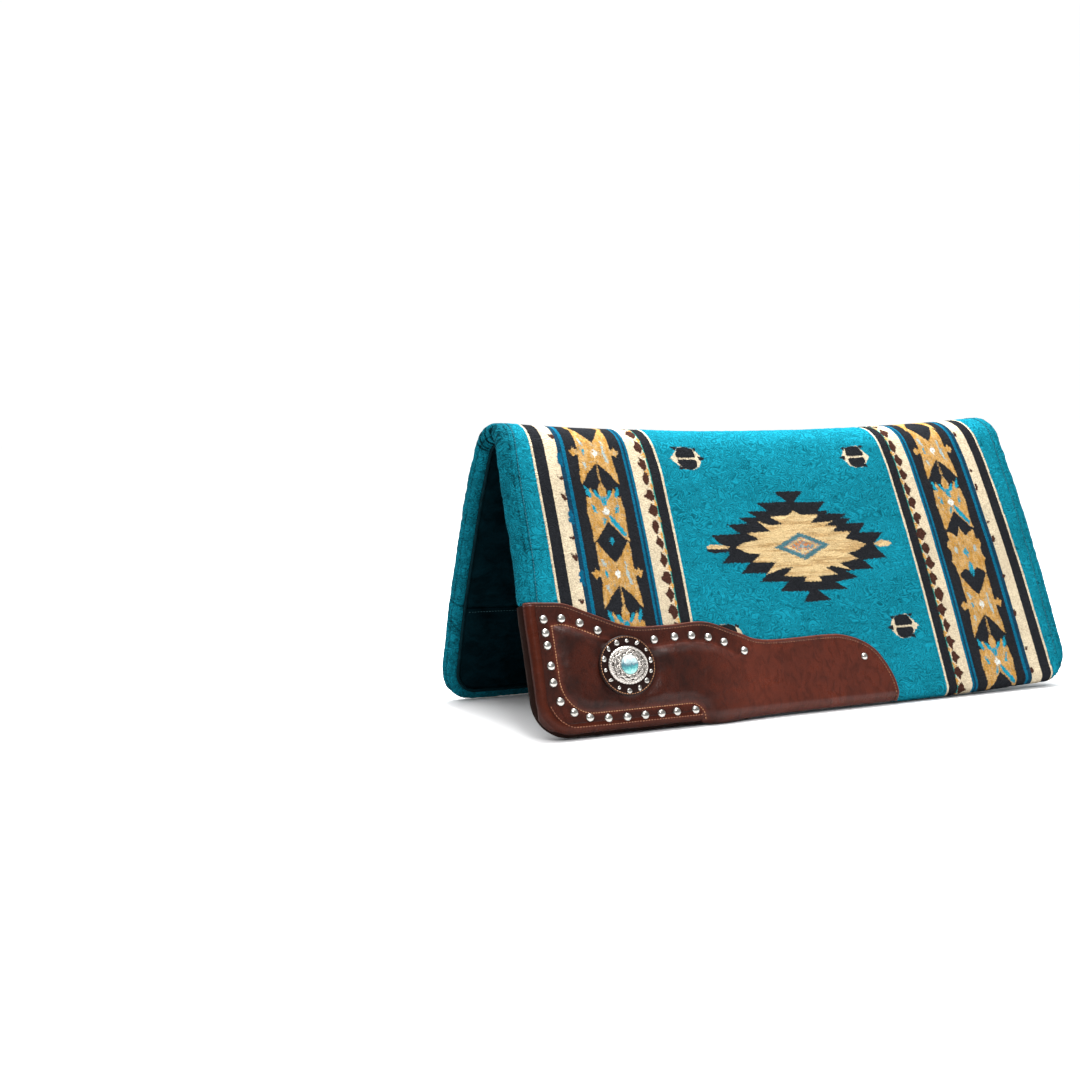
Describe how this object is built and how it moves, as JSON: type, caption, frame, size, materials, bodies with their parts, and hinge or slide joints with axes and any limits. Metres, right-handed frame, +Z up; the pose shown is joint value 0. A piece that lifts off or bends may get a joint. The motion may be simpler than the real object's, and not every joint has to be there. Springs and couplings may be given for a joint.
{
  "type": "saddle pad",
  "caption": "Western saddle pad: patterned woven top, felt core, dark lining, plush edge binding and studded wear leather with a concho on each flank. Folds over its spine.",
  "frame": {"origin": "on the ground under the middle of the spine, halfway between the two hems", "axes": "+X along the spine to the rear of the horse, -Y to the near (left) flank, +Y to the off flank, +Z up"},
  "size_m": [0.864, 0.3497, 0.3914],
  "materials": {
    "top_weave": "matte",
    "edge_plush": "matte",
    "felt": "matte",
    "lining": "matte",
    "piping_cord": "satin",
    "wear_leather": "semi-gloss",
    "binding_leather": "semi-gloss",
    "edge_leather": "satin",
    "foam": "matte",
    "nickel": "polished",
    "turquoise": "polished"
  },
  "bodies": {
    "spine": {"crest_blanket": "top_weave", "crest_felt": "felt", "crest_lining": "lining", "crest_front_binding": "edge_plush", "crest_rear_binding": "edge_plush", "near_fold_blanket": "top_weave", "near_fold_felt": "felt", "near_fold_lining": "lining", "near_fold_front_binding": "edge_plush", "near_fold_rear_binding": "edge_plush", "off_fold_blanket": "top_weave", "off_fold_felt": "felt", "off_fold_lining": "lining", "off_fold_front_binding": "edge_plush", "off_fold_rear_binding": "edge_plush"},
    "near_flank": {"near_blanket": "top_weave", "near_felt": "felt", "near_lining": "lining", "near_edge_binding": "edge_plush", "near_piping": "piping_cord", "near_inner_panel": "lining", "near_wear_leather": "wear_leather", "near_leather_binding": "binding_leather", "near_panel_foam": "foam", "near_padded_panel": "wear_leather", "near_roundel": "wear_leather", "near_concho": "nickel", "near_stone": "turquoise", "near_concho_screw": "nickel", "near_rear_stud": "nickel", "near_edge_backing": "edge_leather"},
    "off_flank": {"off_blanket": "top_weave", "off_felt": "felt", "off_lining": "lining", "off_edge_binding": "edge_plush", "off_piping": "piping_cord", "off_inner_panel": "lining", "off_wear_leather": "wear_leather", "off_leather_binding": "binding_leather", "off_panel_foam": "foam", "off_padded_panel": "wear_leather", "off_roundel": "wear_leather", "off_concho": "nickel", "off_stone": "turquoise", "off_concho_screw": "nickel", "off_rear_stud": "nickel"}
  },
  "joints": [
    {"name": "near_flank_fold", "type": "hinge", "parent": "spine", "child": "near_flank", "pos_m": [0, -0.02185, 0.37246], "axis": [-1, 0, 0], "range_deg": [-21, 70], "deforming": ["near_fold_blanket", "near_fold_felt", "near_fold_lining", "near_fold_front_binding", "near_fold_rear_binding"]},
    {"name": "off_flank_fold", "type": "hinge", "parent": "spine", "child": "off_flank", "pos_m": [0, 0.02185, 0.37246], "axis": [1, 0, 0], "range_deg": [-21, 70], "deforming": ["off_fold_blanket", "off_fold_felt", "off_fold_lining", "off_fold_front_binding", "off_fold_rear_binding"]}
  ]
}
